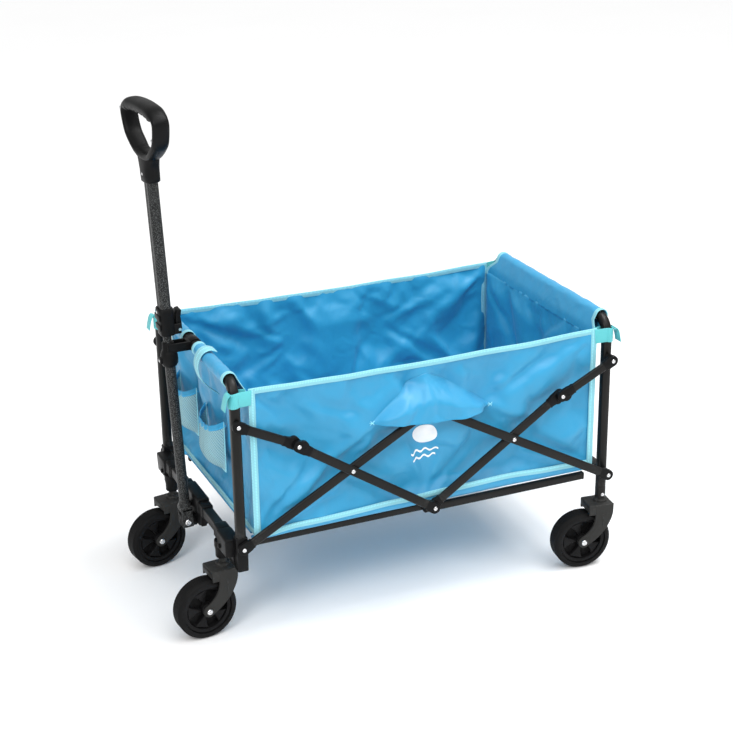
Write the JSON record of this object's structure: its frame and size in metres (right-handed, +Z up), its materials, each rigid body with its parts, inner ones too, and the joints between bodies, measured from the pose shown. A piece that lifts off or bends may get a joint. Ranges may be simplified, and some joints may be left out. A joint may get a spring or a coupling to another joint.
{
  "type": "folding beach cart",
  "caption": "Folding pull cart: scissor steel frame, open fabric bag, swivel casters and a telescopic handle hinged at the front.",
  "frame": {"origin": "on the ground, under the middle of the cart's bounding box", "axes": "-X towards the pull handle, -Y the cart's left side, +Z up"},
  "size_m": [0.9472, 0.536, 1.044],
  "materials": {
    "frame_paint": "satin",
    "hammered_paint": "satin",
    "black_plastic": "satin",
    "fork_plastic": "satin",
    "tread_rubber": "matte",
    "bright_zinc": "polished",
    "blue_cloth": "satin",
    "aqua_mesh": "matte"
  },
  "bodies": {
    "front_frame": {"front_hoop": "frame_paint", "front_crossbar": "frame_paint", "corner_bracket_left": "black_plastic", "corner_bracket_right": "black_plastic", "handle_bracket": "black_plastic", "handle_clip": "black_plastic", "bag_front_panel": "blue_cloth", "bag_left_panel": "blue_cloth", "bag_right_panel": "blue_cloth", "bag_floor_centre": "blue_cloth", "pocket_left": "aqua_mesh", "pocket_right": "aqua_mesh"},
    "rear_frame": {"rear_hoop": "frame_paint", "rear_crossbar": "frame_paint", "rear_socket_left": "black_plastic", "rear_socket_right": "black_plastic", "bag_rear_panel": "blue_cloth"},
    "handle_foot": {"handle_yoke": "hammered_paint", "handle_bolt": "bright_zinc", "handle_lower_tube": "hammered_paint", "ball_collar": "black_plastic", "handle_inner_tube": "hammered_paint"},
    "handle_slider": {"handle_clamp": "black_plastic", "handle_upper_tube": "hammered_paint", "grip": "black_plastic"},
    "clamp_lever": {"clamp_lever": "black_plastic"},
    "floor_front": {"floor_rail_front_left": "frame_paint", "floor_rail_front_right": "frame_paint", "floor_panel_front": "blue_cloth"},
    "long_bar_front_left": {"long_bar_front_left": "frame_paint"},
    "cross_bar_front_left": {"cross_bar_front_left": "frame_paint"},
    "short_link_front_left": {"short_link_front_left": "frame_paint"},
    "caster_front_left": {"fork_front_left": "fork_plastic", "axle_front_left": "bright_zinc"},
    "wheel_front_left": {"wheel_centre_front_left": "black_plastic", "tread_front_left": "tread_rubber"},
    "long_bar_front_right": {"long_bar_front_right": "frame_paint"},
    "cross_bar_front_right": {"cross_bar_front_right": "frame_paint"},
    "short_link_front_right": {"short_link_front_right": "frame_paint"},
    "caster_front_right": {"fork_front_right": "fork_plastic", "axle_front_right": "bright_zinc"},
    "wheel_front_right": {"wheel_centre_front_right": "black_plastic", "tread_front_right": "tread_rubber"},
    "floor_rear": {"floor_rail_rear_left": "frame_paint", "floor_rail_rear_right": "frame_paint", "floor_panel_rear": "blue_cloth"},
    "long_bar_rear_left": {"long_bar_rear_left": "frame_paint"},
    "cross_bar_rear_left": {"cross_bar_rear_left": "frame_paint"},
    "short_link_rear_left": {"short_link_rear_left": "frame_paint"},
    "caster_rear_left": {"fork_rear_left": "fork_plastic", "axle_rear_left": "bright_zinc"},
    "wheel_rear_left": {"wheel_centre_rear_left": "black_plastic", "tread_rear_left": "tread_rubber"},
    "long_bar_rear_right": {"long_bar_rear_right": "frame_paint"},
    "cross_bar_rear_right": {"cross_bar_rear_right": "frame_paint"},
    "short_link_rear_right": {"short_link_rear_right": "frame_paint"},
    "caster_rear_right": {"fork_rear_right": "fork_plastic", "axle_rear_right": "bright_zinc"},
    "wheel_rear_right": {"wheel_centre_rear_right": "black_plastic", "tread_rear_right": "tread_rubber"}
  },
  "joints": [
    {"name": "fold", "type": "hinge", "parent": "front_frame", "child": "long_bar_front_left", "pos_m": [-0.35045, -0.25125, 0.215], "axis": [0, -1, 0], "range_deg": [0, 48], "deforming": ["bag_left_panel", "bag_right_panel", "bag_floor_centre"]},
    {"name": "centre_top_left_hinge", "type": "hinge", "parent": "long_bar_front_left", "child": "long_bar_rear_left", "pos_m": [0.04955, -0.26105, 0.437], "axis": [0, -1, 0], "range_deg": [-96, 0]},
    {"name": "front_crossing_left_hinge", "type": "hinge", "parent": "long_bar_front_left", "child": "cross_bar_front_left", "pos_m": [-0.12605, -0.26105, 0.3395], "axis": [0, -1, 0], "range_deg": [-92.06, 0]},
    {"name": "rear_crossing_left_hinge", "type": "hinge", "parent": "long_bar_rear_left", "child": "cross_bar_rear_left", "pos_m": [0.22515, -0.25125, 0.3395], "axis": [0, -1, 0], "range_deg": [0, 92.06]},
    {"name": "short_link_front_left_hinge", "type": "hinge", "parent": "front_frame", "child": "short_link_front_left", "pos_m": [-0.35045, -0.25125, 0.47], "axis": [0, -1, 0], "range_deg": [0, 103.1]},
    {"name": "rear_frame_hinge", "type": "hinge", "parent": "long_bar_rear_left", "child": "rear_frame", "pos_m": [0.44955, -0.26105, 0.215], "axis": [0, -1, 0], "range_deg": [0, 48]},
    {"name": "short_link_rear_left_hinge", "type": "hinge", "parent": "rear_frame", "child": "short_link_rear_left", "pos_m": [0.44955, -0.26105, 0.47], "axis": [0, -1, 0], "range_deg": [-103.1, 0]},
    {"name": "front_long_bar_right_hinge", "type": "hinge", "parent": "front_frame", "child": "long_bar_front_right", "pos_m": [-0.35045, 0.25125, 0.215], "axis": [0, -1, 0], "range_deg": [0, 48]},
    {"name": "centre_top_right_hinge", "type": "hinge", "parent": "long_bar_front_right", "child": "long_bar_rear_right", "pos_m": [0.04955, 0.26105, 0.437], "axis": [0, -1, 0], "range_deg": [-96, 0]},
    {"name": "front_crossing_right_hinge", "type": "hinge", "parent": "long_bar_front_right", "child": "cross_bar_front_right", "pos_m": [-0.12605, 0.26105, 0.3395], "axis": [0, -1, 0], "range_deg": [-92.06, 0]},
    {"name": "rear_crossing_right_hinge", "type": "hinge", "parent": "long_bar_rear_right", "child": "cross_bar_rear_right", "pos_m": [0.22515, 0.25125, 0.3395], "axis": [0, -1, 0], "range_deg": [0, 92.06]},
    {"name": "short_link_front_right_hinge", "type": "hinge", "parent": "front_frame", "child": "short_link_front_right", "pos_m": [-0.35045, 0.25125, 0.47], "axis": [0, -1, 0], "range_deg": [0, 103.1]},
    {"name": "short_link_rear_right_hinge", "type": "hinge", "parent": "rear_frame", "child": "short_link_rear_right", "pos_m": [0.44955, 0.26105, 0.47], "axis": [0, -1, 0], "range_deg": [-103.1, 0]},
    {"name": "floor_front_hinge", "type": "hinge", "parent": "front_frame", "child": "floor_front", "pos_m": [-0.30445, 0, 0.2075], "axis": [0, -1, 0], "range_deg": [0, 81.6]},
    {"name": "floor_rear_hinge", "type": "hinge", "parent": "rear_frame", "child": "floor_rear", "pos_m": [0.40355, 0, 0.2075], "axis": [0, -1, 0], "range_deg": [-81.6, 0]},
    {"name": "swivel_front_left", "type": "hinge", "parent": "front_frame", "child": "caster_front_left", "pos_m": [-0.36645, -0.165, 0.15], "axis": [0, 0, 1], "continuous": true},
    {"name": "wheel_spin_front_left", "type": "hinge", "parent": "caster_front_left", "child": "wheel_front_left", "pos_m": [-0.40984, -0.16925, 0.0628], "axis": [-0.0976, 0.9952, 0], "continuous": true},
    {"name": "swivel_front_right", "type": "hinge", "parent": "front_frame", "child": "caster_front_right", "pos_m": [-0.36645, 0.165, 0.15], "axis": [0, 0, 1], "continuous": true},
    {"name": "wheel_spin_front_right", "type": "hinge", "parent": "caster_front_right", "child": "wheel_front_right", "pos_m": [-0.4094, 0.1575, 0.0628], "axis": [-0.1719, 0.9851, 0], "continuous": true},
    {"name": "swivel_rear_left", "type": "hinge", "parent": "rear_frame", "child": "caster_rear_left", "pos_m": [0.44955, -0.236, 0.15], "axis": [0, 0, 1], "continuous": true},
    {"name": "wheel_spin_rear_left", "type": "hinge", "parent": "caster_rear_left", "child": "wheel_rear_left", "pos_m": [0.4063, -0.23046, 0.0628], "axis": [0.1271, 0.9919, 0], "continuous": true},
    {"name": "swivel_rear_right", "type": "hinge", "parent": "rear_frame", "child": "caster_rear_right", "pos_m": [0.44955, 0.236, 0.15], "axis": [0, 0, 1], "continuous": true},
    {"name": "wheel_spin_rear_right", "type": "hinge", "parent": "caster_rear_right", "child": "wheel_rear_right", "pos_m": [0.40612, 0.2322, 0.0628], "axis": [-0.0872, 0.9962, 0], "continuous": true},
    {"name": "handle_hinge", "type": "hinge", "parent": "front_frame", "child": "handle_foot", "pos_m": [-0.38745, 0, 0.172], "axis": [0, -1, 0], "range_deg": [0, 95.8]},
    {"name": "handle_slide", "type": "slide", "parent": "handle_foot", "child": "handle_slider", "axis": [-0.0391, 0, 0.9992], "range_m": [0, 0.2]},
    {"name": "clamp_lever_hinge", "type": "hinge", "parent": "handle_slider", "child": "clamp_lever", "pos_m": [-0.38081, 0, 0.59058], "axis": [0, 1, 0], "range_deg": [0, 60]}
  ],
  "couplings": [
    {"joint": "centre_top_left_hinge", "follows": "fold", "ratio": -2},
    {"joint": "front_crossing_left_hinge", "follows": "fold", "ratio": -1.918},
    {"joint": "rear_crossing_left_hinge", "follows": "fold", "ratio": 1.918},
    {"joint": "short_link_front_left_hinge", "follows": "fold", "ratio": 2.148},
    {"joint": "rear_frame_hinge", "follows": "fold", "ratio": 1},
    {"joint": "short_link_rear_left_hinge", "follows": "fold", "ratio": -2.148},
    {"joint": "front_long_bar_right_hinge", "follows": "fold", "ratio": 1},
    {"joint": "centre_top_right_hinge", "follows": "fold", "ratio": -2},
    {"joint": "front_crossing_right_hinge", "follows": "fold", "ratio": -1.918},
    {"joint": "rear_crossing_right_hinge", "follows": "fold", "ratio": 1.918},
    {"joint": "short_link_front_right_hinge", "follows": "fold", "ratio": 2.148},
    {"joint": "short_link_rear_right_hinge", "follows": "fold", "ratio": -2.148},
    {"joint": "floor_front_hinge", "follows": "fold", "ratio": 1.7},
    {"joint": "floor_rear_hinge", "follows": "fold", "ratio": -1.7}
  ]
}
